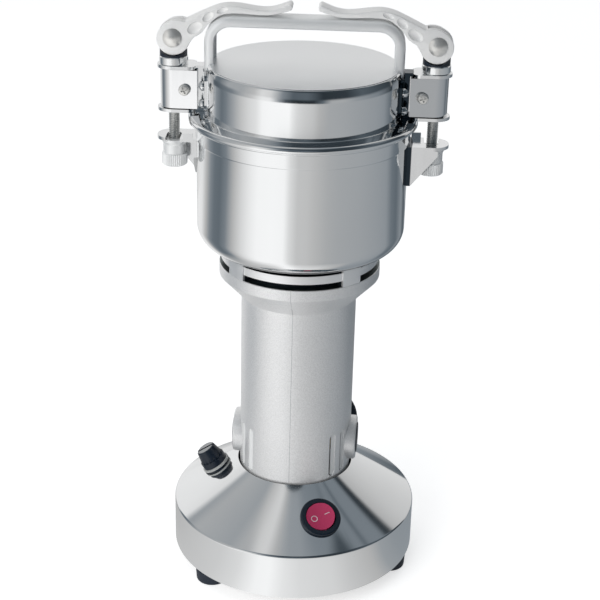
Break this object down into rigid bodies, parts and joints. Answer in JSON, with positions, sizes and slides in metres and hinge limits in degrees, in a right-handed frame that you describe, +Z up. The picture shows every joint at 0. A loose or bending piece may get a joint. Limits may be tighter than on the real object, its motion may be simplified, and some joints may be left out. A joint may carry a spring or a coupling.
{
  "type": "electric grain mill",
  "caption": "Upright electric grain mill: polished steel grinding cup with a lever-clamped lid on a cast motor column and a round steel base with a red rocker switch.",
  "frame": {"origin": "middle of the footprint, on the floor under the feet", "axes": "+Z up, +X to the right and -Y towards the switch and the reader"},
  "size_m": [0.155, 0.14, 0.3257],
  "materials": {
    "polished_steel": "polished to a soft mirror",
    "lever_chrome": "bright polished",
    "bright_screws": "bright, a little worn",
    "plate_paint": "satin black",
    "rubber": "matt",
    "cast_column": "die-cast light alloy, bead blasted",
    "cast_shield": "die-cast, satin",
    "bearing_steel": "ground",
    "rod_steel": "satin",
    "lamination": "dark, oiled",
    "winding": "varnished copper wire",
    "brass": "satin",
    "copper": "turned copper",
    "carbon": "matt carbon",
    "black_plastic": "moulded, half gloss",
    "grey_plastic": "moulded, matt",
    "washer_grey": "light grey, matt",
    "fuse_glass": "clear",
    "crimson": "moulded, half gloss",
    "bronze": "sintered bronze",
    "fan_plastic": "moulded, matt",
    "blade_steel": "ground",
    "silicone": "translucent white"
  },
  "bodies": {
    "stand": {"base_shell": "polished_steel", "bottom_plate": "plate_paint", "feet": "rubber", "foot_screws": "bright_screws", "motor_column": "cast_column", "column_screws": "bright_screws", "upper_shield": "cast_shield", "shield_screws": "bright_screws", "lower_bearing": "bearing_steel", "upper_bearing": "bearing_steel", "stator_core": "lamination", "field_coils": "winding", "brush_tubes": "brass", "carbon_brushes": "carbon", "brush_springs": "bearing_steel", "brush_caps": "black_plastic", "cord_gland": "black_plastic", "gland_nut": "grey_plastic", "switch_body": "black_plastic", "fuse_holder": "black_plastic", "fuse_washer": "washer_grey", "fuse_nut": "grey_plastic", "fuse": "fuse_glass", "cup": "polished_steel", "cup_screws": "bright_screws", "shaft_bush": "bronze", "fork_left": "polished_steel", "fork_right": "polished_steel"},
    "rotor": {"motor_shaft": "bearing_steel", "armature": "lamination", "armature_windings": "winding", "commutator": "copper", "cooling_fan": "fan_plastic", "lower_blade": "blade_steel", "blade_spacer": "blade_steel", "upper_blade": "blade_steel", "blade_nut": "blade_steel"},
    "lid": {"lid_shell": "polished_steel", "lid_seal": "silicone", "handle": "polished_steel", "bracket_left": "polished_steel", "bracket_right": "polished_steel", "bracket_rivets": "bright_screws", "clamp_box_left": "polished_steel", "clamp_box_right": "polished_steel", "box_screws": "bright_screws", "seat_rings": "lever_chrome", "cam_seats": "black_plastic", "clamp_springs": "bearing_steel"},
    "left_rod": {"rod_left": "rod_steel"},
    "left_lever": {"lever_left": "lever_chrome", "lever_pin_left": "lever_chrome"},
    "left_nut": {"nut_left": "lever_chrome"},
    "right_rod": {"rod_right": "rod_steel"},
    "right_lever": {"lever_right": "lever_chrome", "lever_pin_right": "lever_chrome"},
    "right_nut": {"nut_right": "lever_chrome"},
    "switch_rocker": {"rocker": "crimson"},
    "fuse_knob": {"fuse_cap": "black_plastic"}
  },
  "joints": [
    {"name": "rotor_spin", "type": "hinge", "parent": "stand", "child": "rotor", "pos_m": [0, 0, 0.2], "axis": [0, 0, 1], "continuous": true},
    {"name": "lid_turn", "type": "hinge", "parent": "stand", "child": "lid", "pos_m": [0, 0, 0.28], "axis": [0, 0, 1], "range_deg": [0, 25]},
    {"name": "left_rod_slide", "type": "slide", "parent": "lid", "child": "left_rod", "axis": [0, 0, -1], "range_m": [0, 0.0015]},
    {"name": "left_lever_swing", "type": "hinge", "parent": "left_rod", "child": "left_lever", "pos_m": [-0.0685, 0, 0.30655], "axis": [0, -1, 0], "range_deg": [0, 130]},
    {"name": "left_nut_turn", "type": "hinge", "parent": "left_rod", "child": "left_nut", "pos_m": [-0.0685, 0, 0.244], "axis": [0, 0, 1], "continuous": true},
    {"name": "right_rod_slide", "type": "slide", "parent": "lid", "child": "right_rod", "axis": [0, 0, -1], "range_m": [0, 0.0015]},
    {"name": "right_lever_swing", "type": "hinge", "parent": "right_rod", "child": "right_lever", "pos_m": [0.0685, 0, 0.30655], "axis": [0, 1, 0], "range_deg": [0, 130]},
    {"name": "right_nut_turn", "type": "hinge", "parent": "right_rod", "child": "right_nut", "pos_m": [0.0685, 0, 0.244], "axis": [0, 0, 1], "continuous": true},
    {"name": "rocker_tilt", "type": "hinge", "parent": "stand", "child": "switch_rocker", "pos_m": [0.01706, -0.04819, 0.04826], "axis": [-0.4393, 0.7202, 0.5369], "range_deg": [0, 14]},
    {"name": "fuse_cap_turn", "type": "hinge", "parent": "stand", "child": "fuse_knob", "pos_m": [-0.04849, -0.00025, 0.05581], "axis": [-0.5452, -0.0029, 0.8383], "range_deg": [-90, 0]}
  ],
  "couplings": [
    {"joint": "left_rod_slide", "follows": "left_lever_swing", "m_per_rad": 0.00066111},
    {"joint": "right_rod_slide", "follows": "right_lever_swing", "m_per_rad": 0.00066111}
  ]
}
